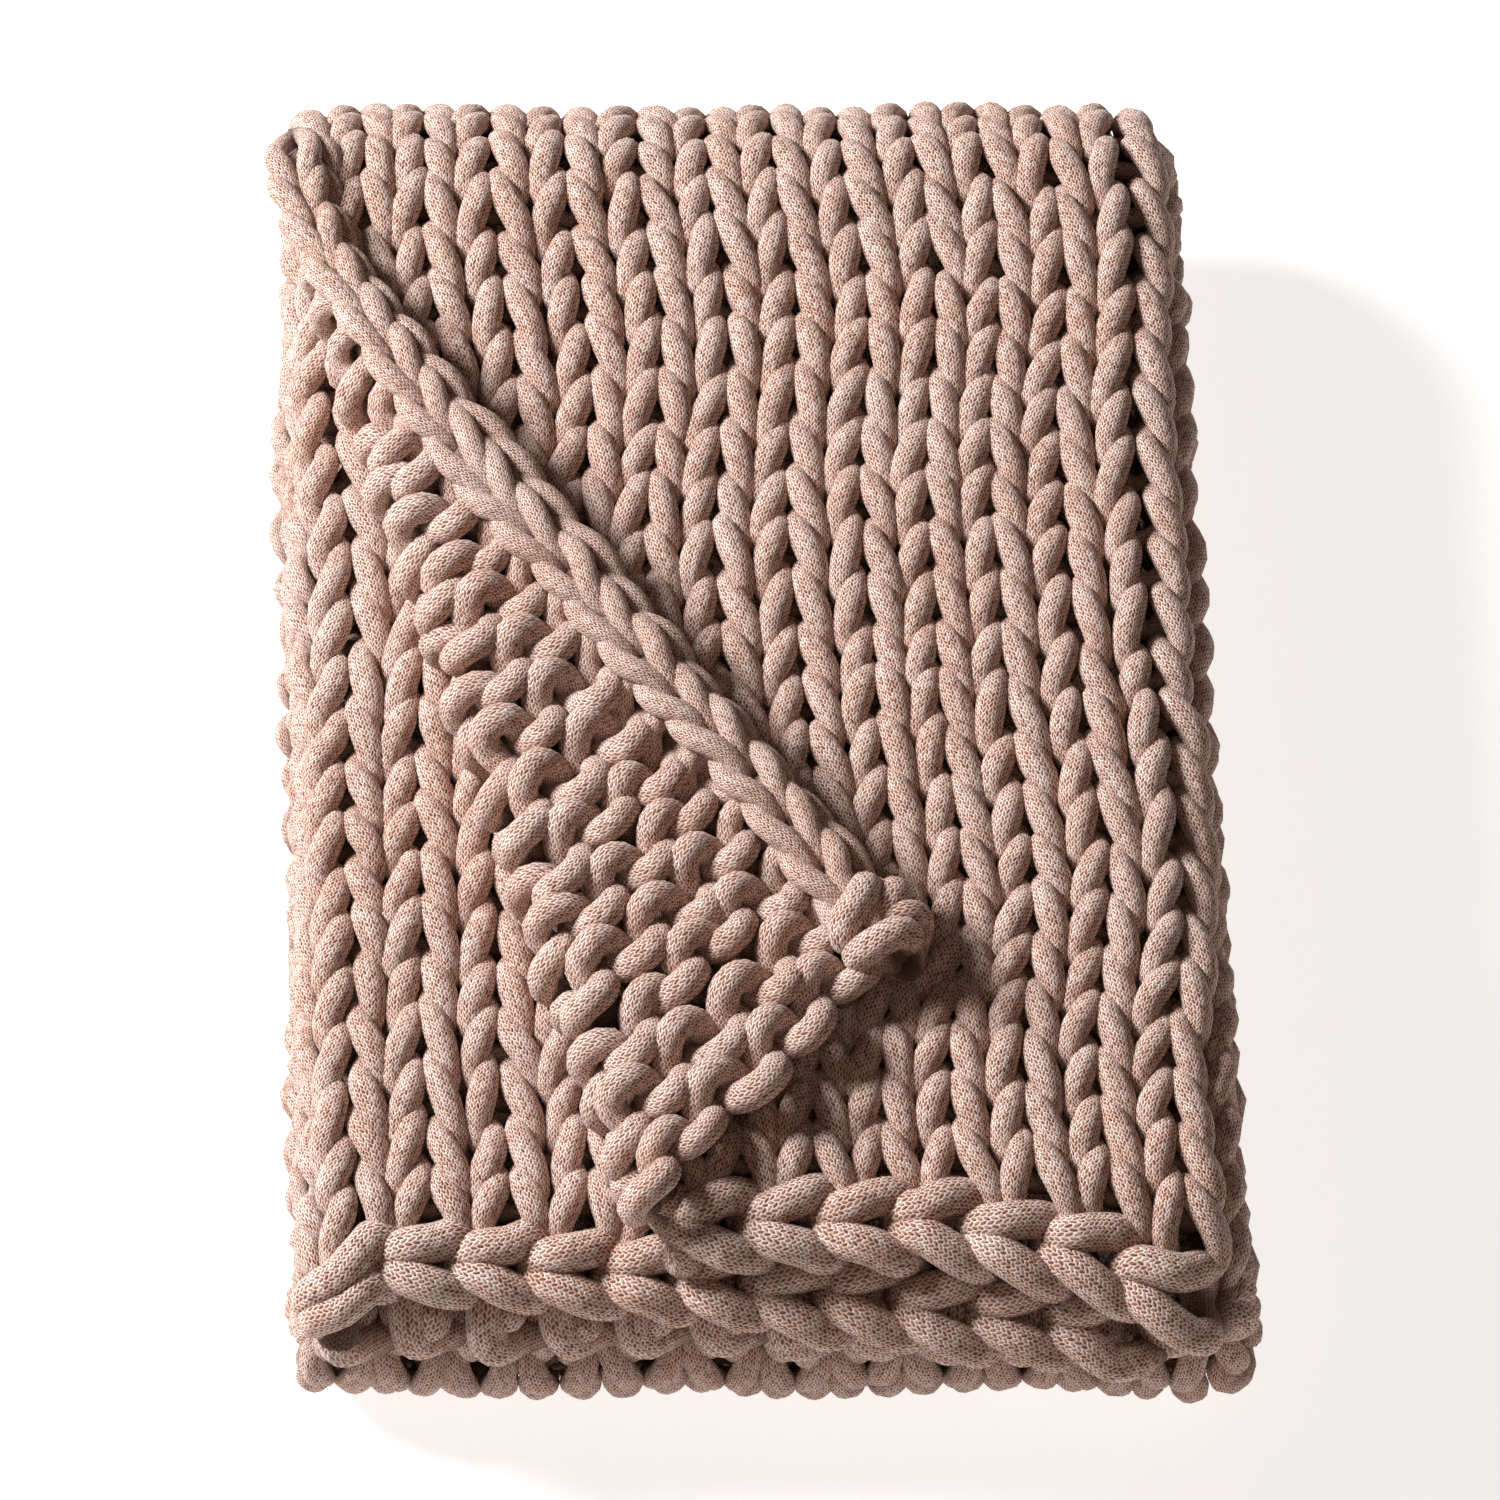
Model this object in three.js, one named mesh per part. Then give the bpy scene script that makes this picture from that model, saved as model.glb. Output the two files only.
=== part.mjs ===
// Folded chunky-knit throw: one knitted panel, folded in thirds across its width and then in thirds along its
// length, with one corner of the top layer turned back. Each stretch of fabric between folds is a plain closed
// solid of the right size and place. Millimetres, +X right, +Y towards the far fold, +Z up, base at z = 0.
import * as THREE from "three";
import { mergeVertices } from "three/addons/utils/BufferGeometryUtils.js";

// Driving dimensions
const LAYER = 12.8; // one knitted layer, from one layer's underside to the next
const GAP = 0.5; // clearance between neighbouring solids
const LAYERS_PER_GROUP = 3; // the width is folded in thirds
const GROUPS = 3; // and so is the length
const TOP_WIDTH = 306; // across the top of the pile
const BASE_WIDTH = 332; // across the pile where it rests: the lower layers spread
const LEAN = 9; // the pile leans this far left at its far end and this far right at its front
const DEPTH = 488; // front edge to far fold
const FRONT_RECESS = 12; // how far the rounded front fold stands behind the top group's edge
const CHAIN = 24; // front-to-back size of a bound-off edge
const ARC_STEPS = 14; // segments in a half circle

// The turned-back corner, in plan: the fold runs from FOLD_FAR to FOLD_NEAR and the corner lies at CORNER_TIP.
const FOLD_FAR = new THREE.Vector2(-151, 182);
const FOLD_NEAR = new THREE.Vector2(-53, -210);
const CORNER_TIP = new THREE.Vector2(59, -112);
const ROLL_RADIUS = 11.5; // the selvedge of the turned corner curls into a roll
const NOSE_RADIUS = 10; // rounding where the top layer folds over into the corner
const NOSE_TRIM_NEAR = 12;
const NOSE_TRIM_FAR = 100;

const HEIGHT = LAYER * LAYERS_PER_GROUP * GROUPS;
const GROUP_HEIGHT = LAYER * LAYERS_PER_GROUP;
const FAR_RADIUS = HEIGHT / 2; // the far fold wraps the whole pile
const FRONT_RADIUS = GROUP_HEIGHT; // the front fold joins the lower two groups
const RIGHT_RADIUS = GROUP_HEIGHT / 2; // the right edge wraps the tucked-in third
const LEFT_RADIUS = LAYER;
const FAR_TANGENT = DEPTH / 2 - FAR_RADIUS;
const FRONT_TANGENT = -DEPTH / 2 + FRONT_RECESS + FRONT_RADIUS;
const LEFT = -TOP_WIDTH / 2;
const RIGHT = TOP_WIDTH / 2;

const throwGroup = new THREE.Group();

function fabric(hex) {
  return new THREE.MeshStandardMaterial({ color: hex, roughness: 0.95, metalness: 0 });
}

const FACE = 0xc9a999;
const TUCKED = 0xbf9d8d;
const BACK = 0xb79484;

// Lower layers spread sideways, evenly from the top of the pile to its base, and the whole pile leans.
function settle(geometry) {
  const position = geometry.getAttribute("position");
  for (let i = 0; i < position.count; i++) {
    const sunk = THREE.MathUtils.clamp(1 - position.getZ(i) / HEIGHT, 0, 1);
    const widening = THREE.MathUtils.lerp(1, BASE_WIDTH / TOP_WIDTH, sunk);
    const lean = (-LEAN * position.getY(i)) / (DEPTH / 2);
    position.setX(i, position.getX(i) * widening + lean);
  }
  return geometry;
}

function add(name, geometry, hex) {
  geometry.deleteAttribute("uv");
  geometry.deleteAttribute("normal");
  const closed = mergeVertices(settle(geometry), 1e-3);
  closed.computeVertexNormals();
  const mesh = new THREE.Mesh(closed, fabric(hex));
  mesh.name = name;
  throwGroup.add(mesh);
}

// A prism with its outline in the XY plane, between two heights.
function slab(points, low, high) {
  const geometry = new THREE.ExtrudeGeometry(new THREE.Shape(points), {
    depth: high - low,
    bevelEnabled: false,
  });
  return geometry.translate(0, 0, low);
}

function rectangle(x0, x1, y0, y1) {
  return [
    new THREE.Vector2(x0, y0),
    new THREE.Vector2(x1, y0),
    new THREE.Vector2(x1, y1),
    new THREE.Vector2(x0, y1),
  ];
}

// Half a ring, opening towards -x of its own plane, as a layer looks where it turns back on itself.
function halfRing(innerRadius, outerRadius) {
  const shape = new THREE.Shape();
  shape.absarc(0, 0, outerRadius, -Math.PI / 2, Math.PI / 2, false);
  if (innerRadius > 0) shape.absarc(0, 0, innerRadius, Math.PI / 2, -Math.PI / 2, true);
  return shape;
}

function extruded(shape, length) {
  return new THREE.ExtrudeGeometry(shape, { depth: length, bevelEnabled: false, curveSegments: ARC_STEPS });
}

// Fold along X: the ring's plane is YZ, opening towards -y (facing = 1) or +y (facing = -1).
function foldAlongX(innerRadius, outerRadius, facing, tangentY, centreZ) {
  const geometry = extruded(halfRing(innerRadius, outerRadius), TOP_WIDTH);
  geometry.rotateX(Math.PI / 2).rotateZ(Math.PI / 2); // the extrusion now runs along +X
  if (facing < 0) geometry.rotateZ(Math.PI);
  geometry.computeBoundingBox();
  return geometry.translate(LEFT - geometry.boundingBox.min.x, tangentY, centreZ);
}

// Fold along Y: the ring's plane is XZ, opening towards the middle of the throw.
function foldAlongY(innerRadius, outerRadius, side, tangentX, centreZ, y0, y1) {
  const geometry = extruded(halfRing(innerRadius, outerRadius), y1 - y0);
  geometry.rotateX(Math.PI / 2);
  if (side < 0) geometry.rotateZ(Math.PI);
  geometry.computeBoundingBox();
  return geometry.translate(tangentX, y0 - geometry.boundingBox.min.y, centreZ);
}

// A layer's place in its group, from the outside of the fold inwards, and its name.
const STRIP = [
  { name: "face", hex: FACE, x0: LEFT + 8, x1: RIGHT - RIGHT_RADIUS },
  { name: "tuck", hex: TUCKED, x0: LEFT + LEFT_RADIUS, x1: RIGHT - RIGHT_RADIUS },
  { name: "back", hex: BACK, x0: LEFT + LEFT_RADIUS, x1: RIGHT - RIGHT_RADIUS },
];

// The groups from the bottom up. order lists the strip's layers from the group's underside up.
const PILE = [
  { name: "base", order: [0, 1, 2], y0: FRONT_TANGENT, y1: FAR_TANGENT },
  { name: "core", order: [2, 1, 0], y0: FRONT_TANGENT, y1: FAR_TANGENT },
  { name: "top", order: [2, 1, 0], y0: -DEPTH / 2 + CHAIN, y1: FAR_TANGENT },
];

function layerSpan(groupIndex, level) {
  const low = groupIndex * GROUP_HEIGHT + level * LAYER;
  return { low: low + (low > 0 ? GAP / 2 : 0), high: low + LAYER - GAP / 2 };
}

// The top face layer, less the triangle at its left that is turned back over it.
function topFaceOutline(x1, y0, y1) {
  const slope = (FOLD_NEAR.x - FOLD_FAR.x) / (FOLD_NEAR.y - FOLD_FAR.y);
  const cutX = FOLD_FAR.x + NOSE_RADIUS + GAP - slope * FOLD_FAR.y; // where the cut crosses y = 0
  return [
    new THREE.Vector2(cutX + slope * y0, y0),
    new THREE.Vector2(x1, y0),
    new THREE.Vector2(x1, y1),
    new THREE.Vector2(cutX + slope * y1, y1),
  ];
}

function addPanels() {
  PILE.forEach((group, groupIndex) => {
    group.order.forEach((stripIndex, level) => {
      const layer = STRIP[stripIndex];
      const { low, high } = layerSpan(groupIndex, level);
      const y0 = group.y0 + GAP;
      const y1 = group.y1 - GAP;
      const x0 = layer.x0 + GAP;
      const x1 = layer.x1 - GAP;
      const isTurned = group.name === "top" && layer.name === "face";
      const outline = isTurned ? topFaceOutline(x1, y0, y1) : rectangle(x0, x1, y0, y1);
      add(`${group.name}_${layer.name}_panel`, slab(outline, low, high), layer.hex);
    });
  });
}

// The right edge turns the face layer round the tuck into the back layer; the left joins tuck and back.
function addSideFolds() {
  PILE.forEach((group, groupIndex) => {
    const low = groupIndex * GROUP_HEIGHT;
    const y0 = group.y0 + GAP;
    const y1 = group.y1 - GAP;
    const middle = low + GROUP_HEIGHT / 2;
    const right = foldAlongY(
      LAYER / 2, RIGHT_RADIUS - GAP / 2, 1, RIGHT - RIGHT_RADIUS, middle, y0, y1,
    );
    add(`${group.name}_right_fold`, right, FACE);
    const backFirst = group.order[0] === 2;
    const seam = backFirst ? low + LAYER : low + 2 * LAYER;
    const left = foldAlongY(0, LEFT_RADIUS - GAP / 2, -1, LEFT + LEFT_RADIUS, seam, y0, y1);
    add(`${group.name}_left_fold`, left, TUCKED);
  });
}

// Nested shells where the three-layer strip turns over, outermost first.
function addCrossFold(prefix, outer, facing, tangent, centreZ) {
  STRIP.forEach((layer, depth) => {
    const outerRadius = outer - depth * LAYER - GAP / 2;
    const innerRadius = Math.max(0, outer - (depth + 1) * LAYER + GAP / 2);
    const solid = innerRadius < GAP ? 0 : innerRadius;
    add(`${prefix}_${layer.name}`, foldAlongX(solid, outerRadius, facing, tangent, centreZ), layer.hex);
  });
}

// A bound-off or cast-on edge: a rounded bar along X that continues its layer.
function edgeBar(x0, x1, y0, y1, centreZ, height) {
  const radius = height / 2;
  const shape = new THREE.Shape();
  shape.absarc(y0 + radius, centreZ, radius, Math.PI / 2, (3 * Math.PI) / 2, false);
  shape.lineTo(y1, centreZ - radius);
  shape.lineTo(y1, centreZ + radius);
  const geometry = extruded(shape, x1 - x0);
  return geometry.rotateX(Math.PI / 2).rotateZ(Math.PI / 2).translate(x0, 0, 0);
}

function addBoundOffEdges() {
  const height = LAYER - GAP;
  const cutX = FOLD_NEAR.x + NOSE_RADIUS + 6;
  const edges = [
    { name: "back", level: 0, x0: LEFT + LEFT_RADIUS, forward: 0 },
    { name: "tuck", level: 1, x0: LEFT + LEFT_RADIUS, forward: 1 },
    { name: "face", level: 2, x0: cutX, forward: 7 },
  ];
  for (const edge of edges) {
    const centreZ = 2 * GROUP_HEIGHT + (edge.level + 0.5) * LAYER;
    const bar = edgeBar(
      edge.x0, RIGHT - RIGHT_RADIUS, -DEPTH / 2 + edge.forward, -DEPTH / 2 + CHAIN, centreZ, height,
    );
    add(`bound_off_edge_${edge.name}`, bar, FACE);
  }
}

// The knot of cord at the front right, where the bound-off edge turns under with the right fold.
function addEdgeKnot() {
  const knot = new THREE.SphereGeometry(1, 14, 10);
  knot.scale(RIGHT_RADIUS / 2 - GAP, CHAIN / 2 - GAP, RIGHT_RADIUS - GAP);
  knot.translate(RIGHT - RIGHT_RADIUS / 2, (CHAIN - DEPTH) / 2, 2.5 * GROUP_HEIGHT);
  add("bound_off_edge_turn", knot, FACE);
}

// The triangle of the top layer that lies purl side up on the pile.
function addTurnedCorner() {
  const top = HEIGHT + GAP / 2;
  const inward = inset([FOLD_FAR, FOLD_NEAR, CORNER_TIP], [NOSE_RADIUS, 5, 2 * ROLL_RADIUS + 1 + GAP]);
  add("turned_corner", slab(inward, top, HEIGHT + LAYER), BACK);
  add("turned_corner_nose", cornerNose(), FACE);
  add("turned_corner_roll", cornerRoll(), FACE);
  add("turned_corner_edge", cornerEdge(), FACE);
}

// A polygon with each side moved inwards by its own distance. Side i runs from point i to point i + 1.
function inset(points, distances) {
  const lines = points.map((point, i) => {
    const next = points[(i + 1) % points.length];
    const along = next.clone().sub(point).normalize();
    const normal = new THREE.Vector2(-along.y, along.x);
    return { at: point.clone().addScaledVector(normal, distances[i]), along };
  });
  return lines.map((line, i) => {
    const before = lines[(i + lines.length - 1) % lines.length];
    const offset = line.at.clone().sub(before.at);
    const travel = offset.cross(line.along) / before.along.cross(line.along);
    return before.at.clone().addScaledVector(before.along, travel);
  });
}

// The rounded bend that joins the top face layer to the turned corner, as far as the roll leaves it room.
function cornerNose() {
  const length = FOLD_FAR.distanceTo(FOLD_NEAR) - NOSE_TRIM_NEAR - NOSE_TRIM_FAR;
  const geometry = extruded(halfRing(0, NOSE_RADIUS), length);
  geometry.rotateX(Math.PI / 2).rotateZ(Math.PI).scale(1, 1, (LAYER - GAP) / NOSE_RADIUS);
  geometry.computeBoundingBox();
  geometry.translate(0, -geometry.boundingBox.min.y, 0);
  const along = FOLD_FAR.clone().sub(FOLD_NEAR);
  const start = FOLD_NEAR.clone().addScaledVector(along.clone().normalize(), NOSE_TRIM_NEAR);
  const inwards = new THREE.Vector2(along.y, -along.x).normalize().multiplyScalar(NOSE_RADIUS - GAP / 2);
  geometry.rotateZ(Math.atan2(along.y, along.x) - Math.PI / 2);
  return geometry.translate(start.x + inwards.x, start.y + inwards.y, HEIGHT);
}

// A capsule-ended round bar from one plan point towards another, resting on the given height.
function roundBar(from, to, radius, trim, base) {
  const along = to.clone().sub(from);
  const length = along.length() - 2 * trim - 2 * radius;
  const geometry = new THREE.CapsuleGeometry(radius, length, 5, 14);
  const middle = from.clone().add(to).multiplyScalar(0.5);
  geometry.rotateZ(Math.atan2(along.y, along.x) - Math.PI / 2);
  return geometry.translate(middle.x, middle.y, base + radius);
}

function cornerRoll() {
  const side = CORNER_TIP.clone().sub(FOLD_FAR).normalize();
  const inwards = new THREE.Vector2(side.y, -side.x).multiplyScalar(ROLL_RADIUS + 1);
  return roundBar(
    FOLD_FAR.clone().add(inwards), CORNER_TIP.clone().add(inwards), ROLL_RADIUS, 1, HEIGHT + GAP / 2,
  );
}

function cornerEdge() {
  const radius = 5;
  const side = CORNER_TIP.clone().sub(FOLD_NEAR).normalize();
  const outwards = new THREE.Vector2(side.y, -side.x).multiplyScalar(1);
  return roundBar(
    FOLD_NEAR.clone().add(outwards), CORNER_TIP.clone().add(outwards), radius, 14, HEIGHT + GAP / 2,
  );
}

// The cast-on edges end together inside the far fold, in the hollow of its innermost layer.
function addCastOnEdge() {
  const radius = FAR_RADIUS - LAYERS_PER_GROUP * LAYER - GAP / 2;
  add("cast_on_edge", foldAlongX(0, radius, 1, FAR_TANGENT, FAR_RADIUS), BACK);
}

addPanels();
addSideFolds();
addCrossFold("far_fold", FAR_RADIUS, 1, FAR_TANGENT, FAR_RADIUS);
addCrossFold("front_fold", FRONT_RADIUS, -1, FRONT_TANGENT, FRONT_RADIUS);
addBoundOffEdges();
addEdgeKnot();
addTurnedCorner();
addCastOnEdge();

// The frame's origin is the middle of the footprint.
const middle = new THREE.Box3().setFromObject(throwGroup, true).getCenter(new THREE.Vector3());
throwGroup.position.set(-middle.x, -middle.y, 0);

export default throwGroup;
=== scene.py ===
"""Folded chunky-knit throw: the looks. Every cord is swept along its real path through the stitches.

The knit is worked out flat, in fabric coordinates: u across the panel, v along it from the bound-off edge,
and w out of the fabric towards its knit side. fold_panel() then lays it into the pile, and turn_corner()
lays the turned-back corner on top. Lengths are in millimetres until to_mesh() makes them metres.
"""

import math

import bpy
import numpy as np
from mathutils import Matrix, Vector


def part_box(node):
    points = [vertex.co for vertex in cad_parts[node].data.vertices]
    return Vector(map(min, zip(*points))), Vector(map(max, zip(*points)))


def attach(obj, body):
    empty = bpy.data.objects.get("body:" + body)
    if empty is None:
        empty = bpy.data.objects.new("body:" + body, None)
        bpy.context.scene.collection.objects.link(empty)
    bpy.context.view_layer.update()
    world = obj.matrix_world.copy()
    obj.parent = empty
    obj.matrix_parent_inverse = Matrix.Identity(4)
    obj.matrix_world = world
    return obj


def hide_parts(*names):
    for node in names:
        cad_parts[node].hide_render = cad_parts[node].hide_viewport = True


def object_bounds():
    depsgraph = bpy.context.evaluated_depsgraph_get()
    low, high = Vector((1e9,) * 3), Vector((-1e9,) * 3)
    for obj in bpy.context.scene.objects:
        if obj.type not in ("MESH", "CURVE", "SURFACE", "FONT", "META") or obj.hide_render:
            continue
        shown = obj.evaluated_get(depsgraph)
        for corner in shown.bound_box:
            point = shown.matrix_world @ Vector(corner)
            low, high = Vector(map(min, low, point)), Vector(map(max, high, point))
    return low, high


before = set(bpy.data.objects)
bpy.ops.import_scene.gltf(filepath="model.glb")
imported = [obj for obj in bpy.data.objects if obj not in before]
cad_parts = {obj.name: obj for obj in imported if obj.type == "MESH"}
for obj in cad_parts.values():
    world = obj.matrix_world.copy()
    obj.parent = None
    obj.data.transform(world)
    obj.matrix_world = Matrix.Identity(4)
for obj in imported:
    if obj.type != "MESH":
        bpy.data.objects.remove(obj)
CAD_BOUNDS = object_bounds()
MM = 0.001

# The pile, as the CAD frame has it
LAYERS = 9
SOLID_GAP = 0.5  # between neighbouring CAD solids
PILE_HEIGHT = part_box("top_face_panel")[1].z / MM + SOLID_GAP / 2
LAYER = PILE_HEIGHT / LAYERS
HALF_DEPTH = CAD_BOUNDS[1][1] / MM
FAR_TANGENT = HALF_DEPTH - PILE_HEIGHT / 2  # y where the far fold starts
FRONT_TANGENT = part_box("front_fold_face")[1].y / MM  # y where the front fold starts
TOP_HALF_WIDTH = 153.0
BASE_HALF_WIDTH = 166.0
LEAN = 9.0  # how far the far edge stands to the left, and the front edge to the right
RIGHT_TANGENT = TOP_HALF_WIDTH - 1.5 * LAYER  # x where the side folds start
LEFT_TANGENT = -TOP_HALF_WIDTH + LAYER
FACE_SELVEDGE_INSET = 8.0
TUCK_SELVEDGE_INSET = 4.0
FACE_SELVEDGE = -TOP_HALF_WIDTH + FACE_SELVEDGE_INSET  # x of the fabric's two selvedges
TUCK_SELVEDGE = RIGHT_TANGENT - TUCK_SELVEDGE_INSET

# The knit
COLUMN = 24.0  # one stitch across
ROW = 20.0  # one stitch along
CORD_HALF_WIDTH = 5.2
CORD_HALF_HEIGHT = 4.9
LOOP_HALF_HEIGHT = 19.5
LOOP_BULGE = 0.225  # sideways swing of a leg, as a share of a column
LOOP_DEPTH = 4.8  # how far the cord swings through the fabric, each way
LOOP_PINCH = 0.28  # how much the cord narrows where loops cross
PINCH_POWER = 1.4  # how short the narrow stretch is
WALES = 14  # fine knitted wales round the cord
COURSE = 1.6  # length of one fine stitch along the cord

# How much the stitches differ: as a share of a loop's height, of a column and of the cord's girth
HEIGHT_JITTER = 0.05
BULGE_JITTER = 0.03
GIRTH_JITTER = 0.03
# and how far they stray, from stitch to stitch and in broad waves
U_JITTER = 0.5
V_JITTER = 1.9
W_JITTER = 0.8
U_WANDER = 2.9
V_WANDER = 2.2
W_WANDER = 0.8

# The bound-off edge: half of one link as (u, v, w) from its middle line; the other half mirrors it in v
LINK = [
    (0.0, 1.2, -6.0),
    (2.0, 3.2, 1.5),
    (8.0, 5.4, 5.6),
    (16.0, 8.4, 5.2),
    (23.0, 10.4, 1.6),
    (28.0, 9.6, -4.5),
    (31.0, 4.0, -8.0),
]
LINK_JOIN = 5  # the control point where a link's cord closes, hidden behind the next link
LINK_GIRTH = 1.28
LINK_JITTER = 0.45  # how far each control point strays
LINK_WIDTH_JITTER = 0.05  # share by which links differ in width
LINK_SHIFT_JITTER = 0.8  # how far links stray from the chain's middle line
CHAIN_MIDDLE = -16.0  # where the chain's middle line runs in front of the first row
CHAIN_REACH = 34.0  # from the first row's start to the chain's outer edge

# The turned-back corner, in plan
FOLD_FAR = np.array([-151.0, 182.0])
FOLD_NEAR = np.array([-38.0, -211.0])
CORNER_TIP = np.array([59.0, -112.0])
CORNER_LIFT = 8.0  # height of the corner's middle plane above the pile
CORNER_SPARE = 40.0  # how far the corner's fabric is worked out beyond its fold line
FOLD_CORE = 0.6  # the least radius to which cords are squeezed inside the corner's fold
FACE_CUT = 0.6  # where the top face layer ends, as a share of the fold's radius inward of the fold line
CORNER_CUT = -2.0  # where the corner's own layer ends, as a share of that radius

# Its curled selvedge
ROLL_RADIUS = 7.0  # at the middle of its fabric
ROLL_LENGTH = 52.0  # how much of the corner's width the curl takes up
ROLL_HEIGHT = 0.75  # the curl is pressed flat to this share
ROLL_GIRTH = 0.86
ROLL_CORE = 2.0  # the least radius to which cords are squeezed inside the curl
ROLL_TURN_RADIUS = ROLL_RADIUS + LOOP_DEPTH  # the radius at which the curl takes up fabric
ROLL_OUTSIDE = ROLL_LENGTH - ROLL_RADIUS - LOOP_DEPTH - CORD_HALF_HEIGHT  # u at the curl's outer edge
ROLL_SINK = 15.0  # how far the curl drops onto the left side
ROLL_SINK_LENGTH = 90.0  # the stretch before the fold line's end in which it drops
SELVEDGE_RUN = -136.0  # x of the selvedge where it runs on along the left side
SELVEDGE_BEND = 16.0  # how softly it bends into that run

# Its purl side, where the loops' backs show as plumper and steeper bumps
PURL_HALF_HEIGHT = 16.4
PURL_BULGE = 0.19
PURL_DEPTH = 7.6
PURL_GIRTH = 1.06

rng = np.random.default_rng(7)


def blend(start, end, share):
    return start + (end - start) * share


def unit(vectors):
    """The vectors at length 1. One of no length stays as it is."""
    return vectors / np.maximum(np.linalg.norm(vectors, axis=1, keepdims=True), 1e-9)


# Noise


def make_waves(count, shortest, longest):
    """Random plane waves, for smooth wandering over the fabric."""
    length = rng.uniform(shortest, longest, count)
    angle = rng.uniform(0, 2 * math.pi, count)
    phase = rng.uniform(0, 2 * math.pi, count)
    return np.stack([np.cos(angle) / length, np.sin(angle) / length, phase])


def wave_sum(waves, u, v):
    """The height of all the waves together at (u, v)."""
    total = np.zeros_like(u)
    for per_u, per_v, phase in waves.T:
        total += np.sin(2 * math.pi * (per_u * u + per_v * v) + phase)
    return total / math.sqrt(waves.shape[1])


WAVES_U = make_waves(6, shortest=70, longest=240)
WAVES_V = make_waves(6, shortest=60, longest=200)
WAVES_W = make_waves(6, shortest=60, longest=180)
JITTER_PERIOD = 128  # stitches, each way, before the random numbers repeat
JITTER = rng.normal(0, 1, (4, JITTER_PERIOD, JITTER_PERIOD))
SIZE, BULGE, SHIFT, STRETCH = range(4)  # what each table of JITTER is for


def stitch_jitter(kind, column, row):
    """One random number per stitch, blended from stitch to stitch along the cord."""
    whole = np.floor(column).astype(int)
    part = column - whole
    part = part * part * (3 - 2 * part)
    table = JITTER[kind, row % JITTER_PERIOD]
    return table[whole % JITTER_PERIOD] * (1 - part) + table[(whole + 1) % JITTER_PERIOD] * part


# One course of stockinette and one bound-off edge, in fabric coordinates


def course(row, first, last, per_stitch, flatness=1.0, purl_from=math.inf):
    """The cord of one row from column `first` to column `last`: points (n, 3) as u, v, w, and its girth."""
    count = max(2, int(round((last - first) * per_stitch)) + 1)
    column = np.linspace(first, last, count)
    angle = 2 * math.pi * column
    purl = np.clip((column * COLUMN - purl_from) / COLUMN, 0, 1)
    height = blend(LOOP_HALF_HEIGHT, PURL_HALF_HEIGHT, purl)
    height = height * (1 + HEIGHT_JITTER * stitch_jitter(SIZE, column, row))
    bulge = blend(LOOP_BULGE, PURL_BULGE, purl)
    bulge = COLUMN * (bulge + BULGE_JITTER * stitch_jitter(BULGE, 2 * column, row))
    depth = blend(LOOP_DEPTH, PURL_DEPTH, purl) * flatness
    u = column * COLUMN + bulge * np.sin(2 * angle) + U_JITTER * stitch_jitter(SHIFT, 2 * column, row)
    v = (row + 0.5) * ROW - height * np.cos(angle) + V_JITTER * stitch_jitter(STRETCH, 2 * column, row)
    w = -depth * np.cos(2 * angle) + W_JITTER * flatness * stitch_jitter(SHIFT, column, row)
    u = u + U_WANDER * wave_sum(WAVES_U, u, v)
    v = v + V_WANDER * wave_sum(WAVES_V, u, v)
    w = w + W_WANDER * wave_sum(WAVES_W, u, v)
    knit_girth = 1 - LOOP_PINCH * np.abs(np.cos(angle)) ** PINCH_POWER
    girth = blend(knit_girth, PURL_GIRTH, purl) + GIRTH_JITTER * stitch_jitter(SIZE, 2 * column, row)
    return np.stack([u, v, w], axis=1), girth


def closed_curve(controls, count):
    """A smooth closed curve through the control points."""
    place = np.linspace(0, len(controls), count + 1)
    whole = np.floor(place).astype(int)
    part = (place - whole)[:, None]
    a, b, c, d = (controls[(whole + k) % len(controls)] for k in (-1, 0, 1, 2))
    bend = 2 * a - 5 * b + 4 * c - d
    twist = 3 * b - a - 3 * c + d
    return 0.5 * (2 * b + (c - a) * part + bend * part**2 + twist * part**3)


def chain(first, last, per_link):
    """A bound-off edge from u `first` to u `last`, as a list of links (n, 3).

    There is one closed link per stitch, and each is drawn through the last.
    """
    half = np.array(LINK)
    other = half[::-1] * [1, -1, 1]
    links = []
    for k in range(int((last - first) / COLUMN)):
        controls = np.concatenate([half, other])
        controls = controls + rng.normal(0, LINK_JITTER, controls.shape)
        controls[:, 1] *= 1 + LINK_WIDTH_JITTER * rng.normal()
        link = closed_curve(np.roll(controls, -LINK_JOIN, axis=0), per_link)
        links.append(link + [first + k * COLUMN, CHAIN_MIDDLE + LINK_SHIFT_JITTER * rng.normal(), 0])
    return links


# Folding the flat fabric into the pile

# Across the strip: the fabric coordinate u where each stretch ends
CURL_RADIUS = 5.0  # of the face layer's selvedge
CURL_TURN = 1.2  # in radians
CURL_END = CURL_TURN * CURL_RADIUS
FACE_END = CURL_END + RIGHT_TANGENT - FACE_SELVEDGE
RIGHT_FOLD_END = FACE_END + math.pi * LAYER
BACK_END = RIGHT_FOLD_END + RIGHT_TANGENT - LEFT_TANGENT
LEFT_FOLD_END = BACK_END + math.pi * LAYER / 2
STRIP_END = LEFT_FOLD_END + TUCK_SELVEDGE - LEFT_TANGENT

# and where the pieces that cover it meet, in the middle of the side folds
FACE_TO_BACK = (FACE_END + RIGHT_FOLD_END) / 2
BACK_TO_TUCK = (BACK_END + LEFT_FOLD_END) / 2


def side_in_view(u):
    """1 where the knit side can be seen, -1 on the back layer, which shows its back."""
    return np.where((u > RIGHT_FOLD_END) & (u < BACK_END), -1.0, 1.0)


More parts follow.
